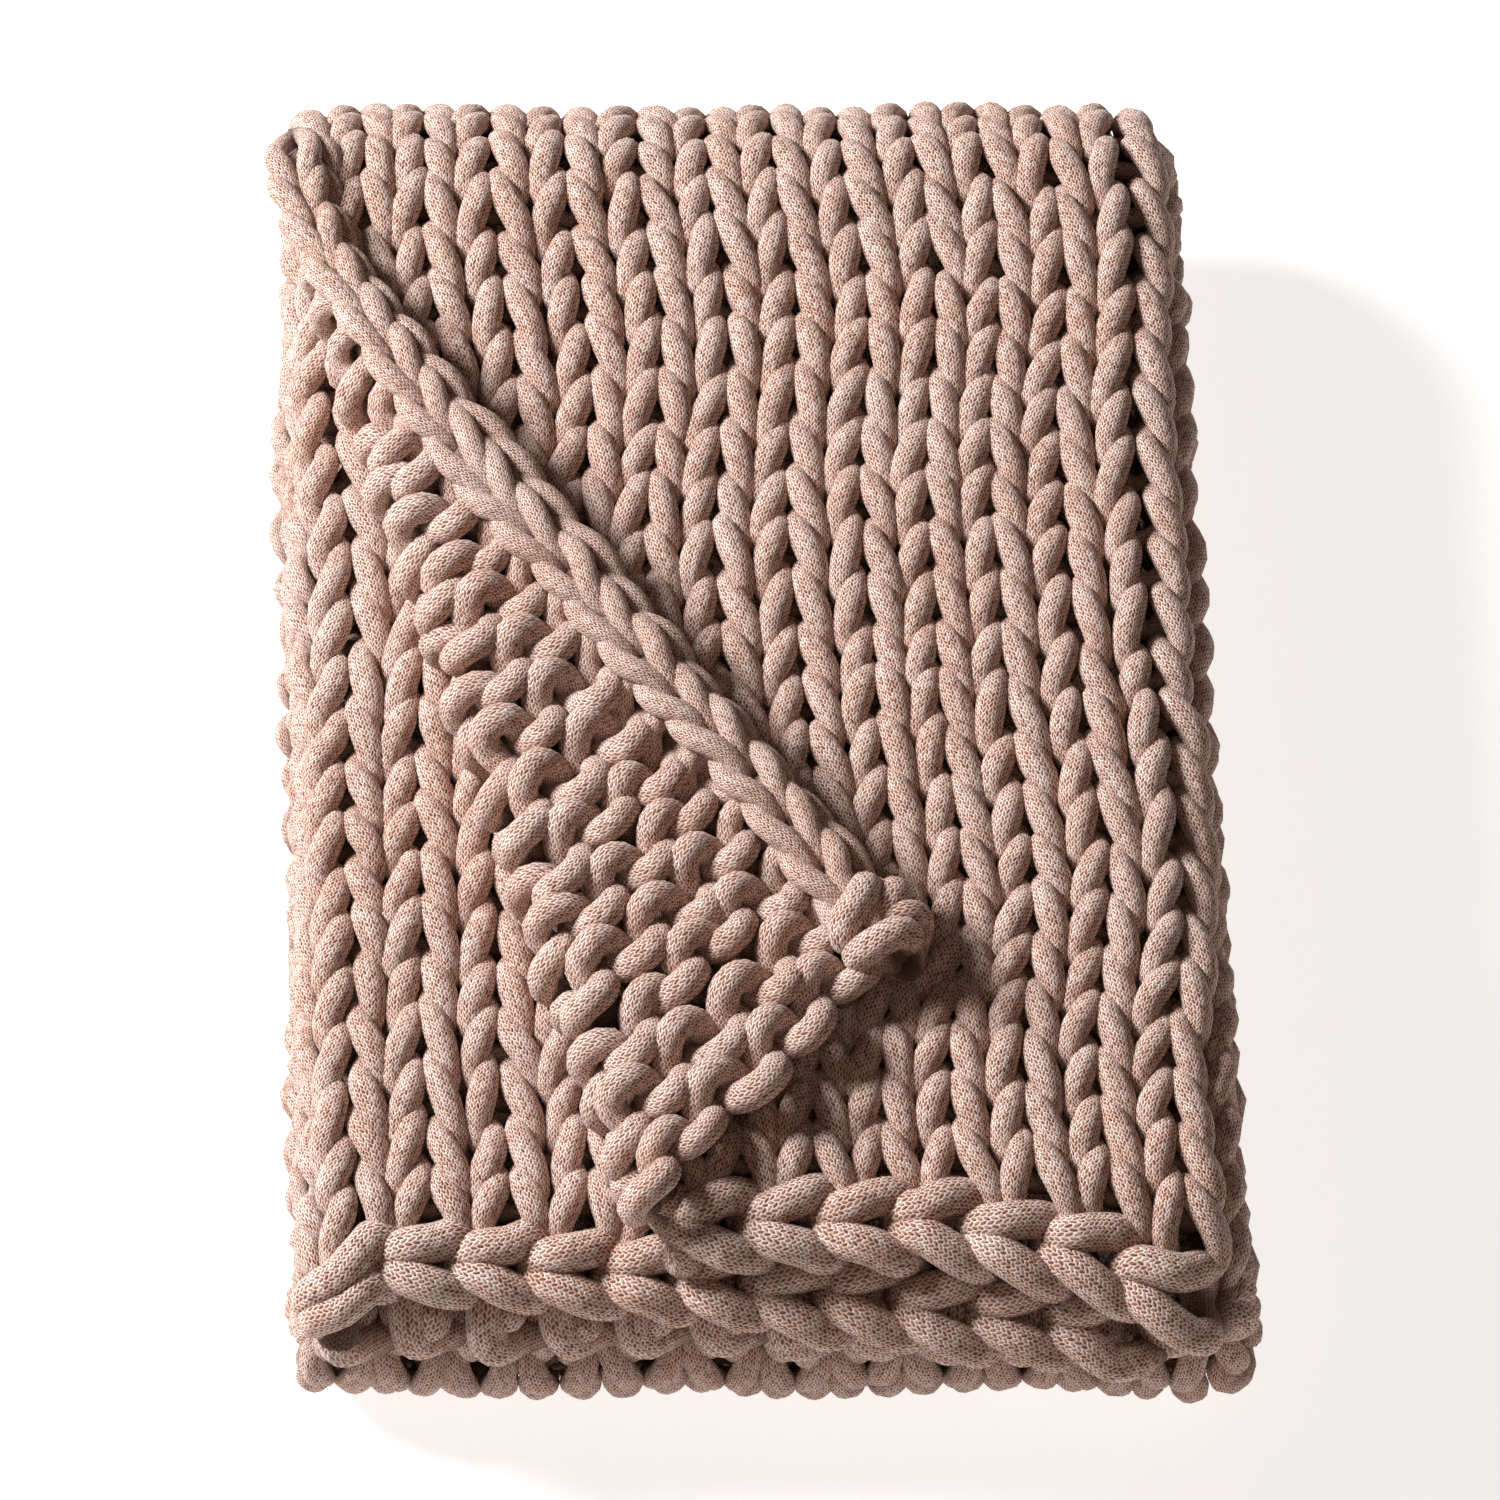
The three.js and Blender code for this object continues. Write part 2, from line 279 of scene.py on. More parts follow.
def strip_section(u):
    """Where the fabric lies across the strip: x, depth below the outside (n), and its knit-side normal."""
    x = np.empty_like(u)
    n = np.empty_like(u)
    nx = np.zeros_like(u)
    nn = np.zeros_like(u)
    start = u < CURL_END
    angle = (CURL_END - u[start]) / CURL_RADIUS
    x[start] = FACE_SELVEDGE - CURL_RADIUS * np.sin(angle)
    n[start] = LAYER / 2 + CURL_RADIUS * (1 - np.cos(angle))
    nx[start] = -np.sin(angle)
    nn[start] = -np.cos(angle)
    face = (u >= CURL_END) & (u < FACE_END)
    x[face] = FACE_SELVEDGE + u[face] - CURL_END
    n[face] = LAYER / 2
    nn[face] = -1
    right = (u >= FACE_END) & (u < RIGHT_FOLD_END)
    angle = (u[right] - FACE_END) / LAYER
    x[right] = RIGHT_TANGENT + LAYER * np.sin(angle)
    n[right] = 1.5 * LAYER - LAYER * np.cos(angle)
    nx[right] = np.sin(angle)
    nn[right] = -np.cos(angle)
    back = (u >= RIGHT_FOLD_END) & (u < BACK_END)
    x[back] = RIGHT_TANGENT - (u[back] - RIGHT_FOLD_END)
    n[back] = 2.5 * LAYER
    nn[back] = 1
    left = (u >= BACK_END) & (u < LEFT_FOLD_END)
    angle = (u[left] - BACK_END) / (LAYER / 2)
    x[left] = LEFT_TANGENT - LAYER / 2 * np.sin(angle)
    n[left] = 2 * LAYER + LAYER / 2 * np.cos(angle)
    nx[left] = -np.sin(angle)
    nn[left] = np.cos(angle)
    tuck = u >= LEFT_FOLD_END
    x[tuck] = LEFT_TANGENT + u[tuck] - LEFT_FOLD_END
    n[tuck] = 1.5 * LAYER
    nn[tuck] = -1
    return x, n, nx, nn


# Along the strip: its two folds' radii in layers, at the outside and where the fabric keeps its length
FAR_OUTSIDE = 4.5
FAR_PACE = 4
FRONT_OUTSIDE = 3
FRONT_PACE = 2.5
FRONT_EDGE = -HALF_DEPTH + 32.0  # y where the first row starts, behind the chain
EDGE_DROOP = 0.0075  # the front edges hang a little
EDGE_DROOP_START = 25.0

# and the fabric coordinate v where each stretch ends
TOP_END = FAR_TANGENT - FRONT_EDGE
FAR_FOLD_END = TOP_END + math.pi * FAR_PACE * LAYER
BASE_END = FAR_FOLD_END + FAR_TANGENT - FRONT_TANGENT
FRONT_FOLD_END = BASE_END + math.pi * FRONT_PACE * LAYER
CORE_END = FRONT_FOLD_END + FAR_TANGENT - FRONT_TANGENT + LAYER


def strip_path(v):
    """The strip's outside as it runs along the pile: y, z and the inward normal (my, mz)."""
    far_radius = FAR_OUTSIDE * LAYER
    front_radius = FRONT_OUTSIDE * LAYER
    y = FRONT_EDGE + v
    z = np.full_like(v, PILE_HEIGHT)
    my = np.zeros_like(v)
    mz = np.full_like(v, -1.0)
    edge = v < EDGE_DROOP_START
    slope = 2 * EDGE_DROOP * (EDGE_DROOP_START - v[edge])
    z[edge] -= EDGE_DROOP * (EDGE_DROOP_START - v[edge]) ** 2
    my[edge] = slope / np.hypot(slope, 1)
    mz[edge] = -1 / np.hypot(slope, 1)
    far = (v >= TOP_END) & (v < FAR_FOLD_END)
    angle = (v[far] - TOP_END) / (FAR_PACE * LAYER)
    y[far] = FAR_TANGENT + far_radius * np.sin(angle)
    z[far] = far_radius * (1 + np.cos(angle))
    my[far] = -np.sin(angle)
    mz[far] = -np.cos(angle)
    base = (v >= FAR_FOLD_END) & (v < BASE_END)
    y[base] = FAR_TANGENT - (v[base] - FAR_FOLD_END)
    z[base] = 0
    mz[base] = 1
    front = (v >= BASE_END) & (v < FRONT_FOLD_END)
    angle = (v[front] - BASE_END) / (FRONT_PACE * LAYER)
    y[front] = FRONT_TANGENT - front_radius * np.sin(angle)
    z[front] = front_radius * (1 - np.cos(angle))
    my[front] = np.sin(angle)
    mz[front] = np.cos(angle)
    core = v >= FRONT_FOLD_END
    y[core] = FRONT_TANGENT + (v[core] - FRONT_FOLD_END)
    z[core] = 2 * front_radius
    return y, z, my, mz


# How far the layers' front edges stand back
FACE_SETBACK = 33.0
FACE_SLANT = 24.0  # how much less the face layer stands back at its right
FACE_SLANT_START = 0.7  # the share of its width where that starts
FACE_SLANT_WIDTH = 0.3  # and the share over which it grows
FACE_SLANT_POWER = 1.5
TUCK_SETBACK = 23.0
TUCK_SLANT = 26.0  # how much less the tucked layer stands back at its selvedge
TUCK_SLANT_POWER = 1.2
TUCK_EASE = 20.0  # the stretch of the left fold in which the tucked layer's setback grows
ALL_FORWARD = 11.0  # how far every layer comes forward again
SETBACK_FADE = 150.0  # how fast the setback fades along the pile


def front_setback(u, v):
    """The layers' front edges don't line up: the top one lies furthest back, and slants at its right."""
    round_fold = np.clip((u - FACE_END) / (RIGHT_FOLD_END - FACE_END), 0, 1)
    slant = np.clip((u / FACE_END - FACE_SLANT_START) / FACE_SLANT_WIDTH, 0, 1)
    face = FACE_SETBACK - FACE_SLANT * slant**FACE_SLANT_POWER
    along_tuck = np.clip((u - BACK_TO_TUCK) / (STRIP_END - BACK_TO_TUCK), 0, 1)
    tuck = TUCK_SETBACK - TUCK_SLANT * along_tuck**TUCK_SLANT_POWER
    tuck = tuck * np.clip((u - BACK_TO_TUCK) / TUCK_EASE, 0, 1)
    setback = face * (1 + np.cos(math.pi * round_fold)) / 2 + tuck - ALL_FORWARD
    return setback * np.exp(-np.maximum(v, 0) / SETBACK_FADE)


def settle(points):
    """Lower layers spread sideways and the pile leans, as the CAD frame's solids do."""
    x, y, z = points.T
    sunk = np.clip(1 - z / PILE_HEIGHT, 0, 1)
    widening = 1 + (BASE_HALF_WIDTH / TOP_HALF_WIDTH - 1) * sunk
    return np.stack([x * widening - LEAN * y / HALF_DEPTH, y, z], axis=1)


def fold_panel(points):
    """Fabric coordinates to the pile's own frame."""
    u, v, w = points.T
    v = v + front_setback(u, v)
    x, n, nx, nn = strip_section(u)
    y, z, my, mz = strip_path(v)
    depth = n + w * nn
    return settle(np.stack([x + w * nx, y + depth * my, z + depth * mz], axis=1))


# Laying the turned corner on the pile

SELVEDGE_LENGTH = np.linalg.norm(FOLD_FAR - CORNER_TIP)
EDGE_LENGTH = np.linalg.norm(FOLD_NEAR - CORNER_TIP)
SELVEDGE_LINE = (FOLD_FAR - CORNER_TIP) / SELVEDGE_LENGTH
EDGE_LINE = (FOLD_NEAR - CORNER_TIP) / EDGE_LENGTH
FOLD_LINE = (FOLD_FAR - FOLD_NEAR) / np.linalg.norm(FOLD_FAR - FOLD_NEAR)
FOLD_INWARD = np.array([FOLD_LINE[1], -FOLD_LINE[0]])
CORNER_PLANE = PILE_HEIGHT + CORNER_LIFT
FACE_PLANE = PILE_HEIGHT - LAYER / 2
BEND_RADIUS = (CORNER_PLANE - FACE_PLANE) / 2


def corner_plan(across, v):
    """Where the corner lies in plan, and how far inward of its fold line that is.

    Its selvedge bends, to run on along the pile's left side.
    """
    selvedge = CORNER_TIP + np.outer(v, SELVEDGE_LINE)
    beside = selvedge[:, 0] - SELVEDGE_RUN
    gap = np.hypot(beside, SELVEDGE_BEND)
    selvedge[:, 0] = SELVEDGE_RUN + (beside + gap) / 2
    heading_x = SELVEDGE_LINE[0] * (1 + beside / gap) / 2
    heading = np.stack([heading_x, np.full_like(v, SELVEDGE_LINE[1])], axis=1)
    heading /= np.linalg.norm(heading, axis=1, keepdims=True)
    cosine = heading @ SELVEDGE_LINE
    sine = SELVEDGE_LINE[0] * heading[:, 1] - SELVEDGE_LINE[1] * heading[:, 0]
    edge_x = cosine * EDGE_LINE[0] - sine * EDGE_LINE[1]
    edge_y = sine * EDGE_LINE[0] + cosine * EDGE_LINE[1]
    from_outside = across - ROLL_OUTSIDE
    plan = selvedge + from_outside[:, None] * np.stack([edge_x, edge_y], axis=1)
    return plan, (plan - FOLD_FAR) @ FOLD_INWARD


def curl_selvedge(u, v, w):
    """The corner's fabric with its selvedge curled up: its distance across, and its height."""
    across = u.copy()
    height = CORNER_PLANE - w
    rolled = u < ROLL_LENGTH
    angle = (ROLL_LENGTH - u[rolled]) / ROLL_TURN_RADIUS
    reach = np.maximum(ROLL_RADIUS + w[rolled], ROLL_CORE)
    across[rolled] = ROLL_LENGTH - reach * np.sin(angle)
    height[rolled] = CORNER_PLANE + ROLL_HEIGHT * (ROLL_RADIUS - reach * np.cos(angle))
    sink = np.clip((v[rolled] - SELVEDGE_LENGTH) / ROLL_SINK_LENGTH + 1, 0, 1)
    height[rolled] -= ROLL_SINK * sink**2
    return across, height


def far_fold_drop(y):
    """How far the far fold falls away below the top of the pile."""
    radius = PILE_HEIGHT / 2
    past_tangent = np.clip(y - FAR_TANGENT, 0, radius)
    return radius - np.sqrt(radius**2 - past_tangent**2)


def turn_corner(points):
    """Fabric coordinates of the corner to the pile's frame.

    Here u runs from the corner's selvedge, and v from its bound-off edge.
    """
    u, v, w = points.T
    v = v + CHAIN_REACH
    rolled = u < ROLL_LENGTH
    across, height = curl_selvedge(u, v, w)
    plan, inward = corner_plan(across, v)
    height[rolled] -= far_fold_drop(plan[rolled, 1])
    along = plan - np.outer(inward, FOLD_INWARD)
    bent = (inward < BEND_RADIUS) & ~rolled
    angle = np.clip((BEND_RADIUS - inward[bent]) / BEND_RADIUS, 0, math.pi)
    reach = np.maximum(BEND_RADIUS - w[bent], FOLD_CORE)
    inward[bent] = BEND_RADIUS - reach * np.sin(angle)
    height[bent] = FACE_PLANE + BEND_RADIUS + reach * np.cos(angle)
    plan = along + np.outer(inward, FOLD_INWARD)
    return settle(np.stack([plan[:, 0], plan[:, 1], height], axis=1))


# Sweeping a cord

# Its rounded ends: the point they grow from, and how far out and how thick they are, as shares
CORD_ENDS = [(0, -0.95, 0.05), (0, -0.6, 0.75), (-1, 0.6, 0.75), (-1, 0.95, 0.05)]
NORMAL_STEP = np.array([0, 0, 0.5])  # the small step in w that shows which way the knit side faces
FLOOR_GIVE = 1.2  # cords flatten softly against the floor, over about this height


def normals_of(mapping, points):
    """The fabric's knit-side direction at each point."""
    return unit(mapping(points + NORMAL_STEP) - mapping(points - NORMAL_STEP))


def extend(values):
    """The first and last value twice more, for a cord's two end rings on each side."""
    return np.concatenate([values[[0, 0]], values, values[[-1, -1]]])


def round_off(points, tangent, girth):
    """A cord's points and girths with its rounded ends added."""
    middles = [points[k] + tangent[k] * out * CORD_HALF_WIDTH for k, out, _ in CORD_ENDS]
    girths = [girth[k] * share for k, _, share in CORD_ENDS]
    points = np.concatenate([middles[:2], points, middles[2:]])
    return points, np.concatenate([girths[:2], girth, girths[2:]])


def pattern_place(points, tangent):
    """How far along the cord each ring of the fine knit lies.

    In a tight turn the cord's middle hardly moves on, so there the pattern goes by the angle turned, and
    isn't stretched round the outside.
    """
    spacing = np.linalg.norm(np.diff(points, axis=0), axis=1)
    bend = np.arccos(np.clip(np.sum(tangent[1:] * tangent[:-1], axis=1), -1, 1))
    spacing[2:-2] = np.maximum(spacing[2:-2], CORD_HALF_WIDTH * bend)
    return np.concatenate([[0], np.cumsum(spacing)])


class Mesh:
    """Collects tubes: vertices, quads, each corner's place on its cord and each vertex's height."""

    def __init__(self):
        self.vertices = []
        self.quads = []
        self.corners = []
        self.heights = []
        self.count = 0

    def tube(self, points, normal, outward, lift, girth, sides, half_height, strand):
        """A cord of oval section with rounded ends."""
        tangent = unit(np.gradient(points, axis=0))
        side = unit(np.cross(tangent, normal))
        up = extend(np.cross(side, tangent))
        side = extend(side)
        points, girth = round_off(points, tangent, girth)
        facing = np.sum(up * extend(outward), axis=1)
        turn = 2 * math.pi * np.arange(sides) / sides
        ring_x = np.outer(girth, CORD_HALF_WIDTH * np.cos(turn))
        ring_y = np.outer(girth, half_height * np.sin(turn))
        # Each vertex's height in the fabric, which sets the painted shade between cords
        self.heights.append((extend(lift)[:, None] + ring_y * facing[:, None]).ravel())
        rings = points[:, None] + side[:, None] * ring_x[..., None] + up[:, None] * ring_y[..., None]
        self.add_rings(rings, pattern_place(points, tangent), strand)

    def add_rings(self, rings, along, strand):
        """Joins the rings by quads. A corner's place is (length along, share round, cord number)."""
        steps, sides = rings.shape[:2]
        index = self.count + np.arange(steps * sides).reshape(steps, sides)
        after = np.roll(index, -1, axis=1)
        quads = np.stack([index[:-1], after[:-1], after[1:], index[1:]], axis=-1).reshape(-1, 4)
        start, around = np.broadcast_arrays(along[:-1, None], np.arange(sides) / sides)
        end = np.broadcast_to(along[1:, None], start.shape)
        number = np.full_like(around, strand)
        corner = np.stack(
            [
                np.stack([start, around, number], -1),
                np.stack([start, around + 1 / sides, number], -1),
                np.stack([end, around + 1 / sides, number], -1),
                np.stack([end, around, number], -1),
            ],
            axis=2,
        )
        self.vertices.append(rings.reshape(-1, 3))
        self.quads.append(quads)
        self.corners.append(corner.reshape(-1, 3))
        self.count += steps * sides


def to_mesh(name, mesh, material):
    """The collected tubes as a Blender object."""
    vertices = np.concatenate(mesh.vertices) * MM
    floor_give = FLOOR_GIVE * MM
    z = vertices[:, 2]
    vertices[:, 2] = 0.5 * (z + np.sqrt(z * z + floor_give * floor_give))
    quads = np.concatenate(mesh.quads)
    data = bpy.data.meshes.new(name)
    data.vertices.add(len(vertices))
    data.vertices.foreach_set("co", vertices.ravel())
    data.loops.add(quads.size)
    data.loops.foreach_set("vertex_index", quads.ravel().astype(np.int32))
    data.polygons.add(len(quads))
    data.polygons.foreach_set("loop_start", np.arange(0, quads.size, 4, dtype=np.int32))
    cord = data.attributes.new("cord", "FLOAT_VECTOR", "CORNER")
    cord.data.foreach_set("vector", np.concatenate(mesh.corners).ravel().astype(np.float32))
    height = data.attributes.new("height", "FLOAT", "POINT")
    height.data.foreach_set("value", np.concatenate(mesh.heights).astype(np.float32))
    data.update(calc_edges=True)
    data.shade_smooth()
    data.materials.append(material)
    piece = bpy.data.objects.new(name, data)
    bpy.context.scene.collection.objects.link(piece)
    return piece


# Materials

MIX_A = 6  # a colour Mix node's own sockets
MIX_B = 7
MIX_RESULT = 2


class Nodes:
    """Short calls for building a node tree."""

    def __init__(self, material):
        material.use_nodes = True
        self.tree = material.node_tree
        self.tree.nodes.clear()

    def new(self, kind, **settings):
        node = self.tree.nodes.new(kind)
        for key, value in settings.items():
            setattr(node, key, value)
        return node

    def link(self, source, target):
        self.tree.links.new(source, target)

    def put(self, socket, value):
        if isinstance(value, bpy.types.NodeSocket):
            self.link(value, socket)
        else:
            socket.default_value = value

    def math(self, operation, a, b=0.0, c=0.0):
        node = self.new("ShaderNodeMath", operation=operation)
        for socket, value in zip(node.inputs, (a, b, c)):
            self.put(socket, value)
        return node.outputs[0]

    def mix(self, share, a, b):
        node = self.new("ShaderNodeMix", data_type="RGBA")
        self.put(node.inputs[0], share)
        self.put(node.inputs[MIX_A], a)
        self.put(node.inputs[MIX_B], b)
        return node.outputs[MIX_RESULT]

    def smooth(self, value, low, high):
        """0 below low and 1 above high, with a soft step between."""
        node = self.new("ShaderNodeMapRange", interpolation_type="SMOOTHSTEP")
        self.put(node.inputs["Value"], value)
        node.inputs["From Min"].default_value = low
        node.inputs["From Max"].default_value = high
        return node.outputs["Result"]

    def combine(self, x, y, z):
        node = self.new("ShaderNodeCombineXYZ")
        for socket, value in zip(node.inputs, (x, y, z)):
            self.put(socket, value)
        return node.outputs[0]

    def noise(self, scale, detail):
        """Smooth noise over the surface's position, which is in metres."""
        node = self.new("ShaderNodeTexNoise")
        node.inputs["Scale"].default_value = scale
        node.inputs["Detail"].default_value = detail
        self.link(self.new("ShaderNodeNewGeometry").outputs["Position"], node.inputs["Vector"])
        return node.outputs["Fac"]


BASE = (0.735, 0.428, 0.318, 1)
PALE = (0.93, 0.75, 0.65, 1)
DEEP = (0.45, 0.24, 0.17, 1)
FINE_GAP_SHADE_COLOUR = (0.1, 0.042, 0.028, 1)  # painted shade in the gaps between the fine stitches of one cord
BETWEEN_CORDS_SHADE_COLOUR = (0.09, 0.03, 0.018, 1)  # painted shade deep between neighbouring cords
BETWEEN_LOW = -4.0  # height in the fabric, where the shade between cords is full
BETWEEN_HIGH = 3.4  # and where it ends
DASH_SLANT = 0.55  # of the dark dash of painted shade between fine stitches; its sizes are shares of a stitch
DASH_HALF_WIDTH = 0.4
DASH_HALF_LENGTH = 0.5
DASH_DARK = 0.25  # the share of a dash, by area, that is fully dark
FUZZ_SCALE = 420.0
CLOUD_SCALE = 26.0


def fine_knit(n):
    """The dark slanted dashes between the cord's fine V stitches, which sink the bump and carry painted
    shade, and one random number per stitch.
    """
    split = n.new("ShaderNodeSeparateXYZ")
    attribute = n.new("ShaderNodeAttribute", attribute_name="cord")
    n.link(attribute.outputs["Vector"], split.inputs[0])
    along, around, strand = split.outputs
    half_wale = n.math("MULTIPLY", around, 2 * WALES)
    half_wale_id = n.math("FLOOR", half_wale)
    odd = n.math("MODULO", half_wale_id, 2.0)
    lean = n.math("SUBTRACT", n.math("MULTIPLY", odd, 2.0), 1.0)
    stitch = n.math("ADD", n.math("DIVIDE", along, COURSE), n.math("MULTIPLY", odd, 0.5))
    stitch_id = n.math("FLOOR", stitch)
    across = n.math("SUBTRACT", n.math("FRACT", half_wale), 0.5)
    length = n.math("SUBTRACT", n.math("FRACT", stitch), 0.5)
    slanted = n.math("ADD", across, n.math("MULTIPLY", n.math("MULTIPLY", lean, length), DASH_SLANT))
    dash_across = n.math("POWER", n.math("DIVIDE", n.math("ABSOLUTE", slanted), DASH_HALF_WIDTH), 2.0)
    dash_along = n.math("POWER", n.math("DIVIDE", n.math("ABSOLUTE", length), DASH_HALF_LENGTH), 2.0)
    from_middle = n.math("ADD", dash_across, dash_along)
    dash = n.math("SUBTRACT", 1.0, n.smooth(from_middle, DASH_DARK, 1.0))
    cell = n.new("ShaderNodeTexWhiteNoise", noise_dimensions="3D")
    n.link(n.combine(half_wale_id, stitch_id, strand), cell.inputs["Vector"])
    return dash, cell.outputs["Value"]


def fibre_colour(n, dash, chance, fuzz):
    """Cloudy tone, paler and deeper stitches, pale fuzz, painted shade in the dark dashes, and painted
    shade deep between cords.
    """
    cloud = n.smooth(n.noise(CLOUD_SCALE, 2.0), 0.3, 0.75)
    colour = n.mix(cloud, BASE, n.mix(0.35, BASE, PALE))
    pale_stitch = n.math("MULTIPLY", n.smooth(chance, 0.45, 1.0), 0.75)
    colour = n.mix(pale_stitch, colour, PALE)
    pale_fuzz = n.math("MULTIPLY", n.smooth(fuzz, 0.5, 0.78), 0.3)
    colour = n.mix(pale_fuzz, colour, PALE)
    deep_stitch = n.math("MULTIPLY", n.smooth(chance, 0.35, 0.0), 0.6)
    colour = n.mix(deep_stitch, colour, DEEP)
    # Painted shade in the gaps between the fine stitches, weaker on the paler stitches
    gap_shade_strength = n.math("SUBTRACT", 0.92, n.math("MULTIPLY", chance, 0.4))
    colour = n.mix(n.math("MULTIPLY", dash, gap_shade_strength), colour, FINE_GAP_SHADE_COLOUR)
    # Painted shade deep between neighbouring cords, full where the cord lies low in the fabric
    height = n.new("ShaderNodeAttribute", attribute_name="height").outputs["Fac"]
    between = n.math("SUBTRACT", 1.0, n.smooth(height, BETWEEN_LOW, BETWEEN_HIGH))
    return n.mix(n.math("MULTIPLY", between, 0.92), colour, BETWEEN_CORDS_SHADE_COLOUR)


def knit_cord_material(name):
    """Melange tubular knit: fine raised stitches, paler and deeper fibres, painted shade between the fine
    stitches and between cords, and a soft sheen.
    """
    material = bpy.data.materials.new(name)
    n = Nodes(material)
    dash, chance = fine_knit(n)
    fuzz = n.noise(FUZZ_SCALE, 3.0)
    raised = n.math("SUBTRACT", 1.0, dash)
    bump = n.new("ShaderNodeBump")
    bump.inputs["Strength"].default_value = 0.9
    bump.inputs["Distance"].default_value = 0.0012
    n.link(n.math("ADD", raised, n.math("MULTIPLY", fuzz, 0.5)), bump.inputs["Height"])
    shader = n.new("ShaderNodeBsdfPrincipled")
    shader.inputs["Roughness"].default_value = 0.92
    shader.inputs["Specular IOR Level"].default_value = 0.15
    shader.inputs["Sheen Weight"].default_value = 0.3
    shader.inputs["Sheen Roughness"].default_value = 0.45
    shader.inputs["Sheen Tint"].default_value = (0.95, 0.82, 0.76, 1)
    n.link(fibre_colour(n, dash, chance, fuzz), shader.inputs["Base Color"])
    n.link(bump.outputs["Normal"], shader.inputs["Normal"])
    output = n.new("ShaderNodeOutputMaterial")
    n.link(shader.outputs[0], output.inputs["Surface"])
    return material


# Pieces

CORD = knit_cord_material("knit_cord")

# How finely a cord is drawn: points along it for each stitch, and sides round it
HERO = {"per_stitch": 34, "sides": 12}
SEEN = {"per_stitch": 26, "sides": 12}
HIDDEN = {"per_stitch": 16, "sides": 8}
LINK_STEPS = 56
SHORTEST_RUN = 4  # points in the shortest piece of cord that is drawn

# Cord numbers, which keep two cords from having the same fibres. The pile's own rows count from 0.
CHAIN_STRANDS = 300
CORNER_STRANDS = 500
CORNER_CHAIN_STRANDS = 600

# Stretches along the strip: name, where each starts and ends, and how flat the layers are pressed
STRETCHES = [
    ("top", 0, TOP_END, 1.0),
    ("far_fold", TOP_END, FAR_FOLD_END, 0.9),
    ("base", FAR_FOLD_END, BASE_END, 0.8),
    ("front_fold", BASE_END, FRONT_FOLD_END, 0.9),
    ("core", FRONT_FOLD_END, CORE_END, 0.75),
]
ZONES = [
    ("face", 0.0, FACE_TO_BACK),
    ("back", FACE_TO_BACK, BACK_TO_TUCK),
    ("tuck", BACK_TO_TUCK, STRIP_END),
]
DETAIL = {
    ("top", "face"): HERO,
    ("top", "tuck"): SEEN,
    ("top", "back"): SEEN,
    ("far_fold", "face"): SEEN,
    ("base", "face"): SEEN,
    ("front_fold", "face"): SEEN,
    ("front_fold", "back"): SEEN,
}
STANDS_FOR = {
    ("top", "face"): ["top_face_panel", "top_right_fold"],
    ("top", "tuck"): ["top_tuck_panel", "top_left_fold"],
    ("top", "back"): ["top_back_panel"],
    ("far_fold", "face"): ["far_fold_face"],
    ("far_fold", "tuck"): ["far_fold_tuck"],
    ("far_fold", "back"): ["far_fold_back"],
    ("base", "face"): ["base_face_panel", "base_right_fold"],
    ("base", "tuck"): ["base_tuck_panel", "base_left_fold"],
    ("base", "back"): ["base_back_panel"],
    ("front_fold", "face"): ["front_fold_face"],
    ("front_fold", "tuck"): ["front_fold_tuck"],
    ("front_fold", "back"): ["front_fold_back"],
    ("core", "face"): ["core_face_panel", "core_right_fold"],
    ("core", "tuck"): ["core_tuck_panel", "core_left_fold"],
    ("core", "back"): ["core_back_panel", "cast_on_edge"],
}
CHAIN_STANDS_FOR = {
    "face": ["bound_off_edge_face", "bound_off_edge_turn"],
    "back": ["bound_off_edge_back"],
    "tuck": ["bound_off_edge_tuck"],
}


def finish_piece(name, mesh, nodes):
    piece = to_mesh(name, mesh, CORD)
    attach(piece, "root")
    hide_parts(*nodes)


def cut_runs(keep):
    """Start and end of each unbroken run of True that is long enough to draw."""
    edges = np.flatnonzero(np.diff(np.concatenate([[0], keep.astype(int), [0]])))
    return [(a, b) for a, b in zip(edges[::2], edges[1::2]) if b - a >= SHORTEST_RUN]


def sweep(mesh, mapping, points, girth, keep, detail, strand, flatness=1.0, side=1.0):
    """Tubes along the kept runs of one cord. `side` is -1 where the fabric's back faces out."""
    placed = mapping(points)
    normal = normals_of(mapping, points)
    outward = normal * np.reshape(side, (-1, 1))
    # A point's height out of the fabric on the side in view; it sets the painted shade between cords
    lift = points[:, 2] * side
    height = CORD_HALF_HEIGHT * flatness
    sides = detail["sides"]
    for a, b in cut_runs(keep):
        run = slice(a, b)
        mesh.tube(placed[run], normal[run], outward[run], lift[run], girth[run], sides, height, strand)


def lies_flat(points):
    """False where the top face layer has been turned back, so nothing of it lies flat there."""
    x, y, _ = fold_panel(points).T
    plan = np.stack([x + LEAN * y / HALF_DEPTH, y], axis=1)
    inward = (plan - FOLD_FAR) @ FOLD_INWARD
    return inward >= BEND_RADIUS * FACE_CUT


def knit_piece(stretch, zone):
    """The rows of one stretch along the strip, in one zone across it."""
    name, v0, v1, flatness = stretch
    zone_name, u0, u1 = zone
    detail = DETAIL.get((name, zone_name), HIDDEN)
    mesh = Mesh()
    for row in range(int(math.ceil(v0 / ROW)), int(math.ceil(v1 / ROW))):
        points, girth = course(row, u0 / COLUMN, u1 / COLUMN, detail["per_stitch"], flatness)
        keep = np.ones(len(points), bool)
        if (name, zone_name) == ("top", "face"):
            keep = lies_flat(points)
        side = side_in_view(points[:, 0])
        sweep(mesh, fold_panel, points, girth, keep, detail, row, flatness, side)
    finish_piece(f"{name}_{zone_name}_knit", mesh, STANDS_FOR[(name, zone_name)])


def build_pile():
    for stretch in STRETCHES:
        for zone in ZONES:
            knit_piece(stretch, zone)


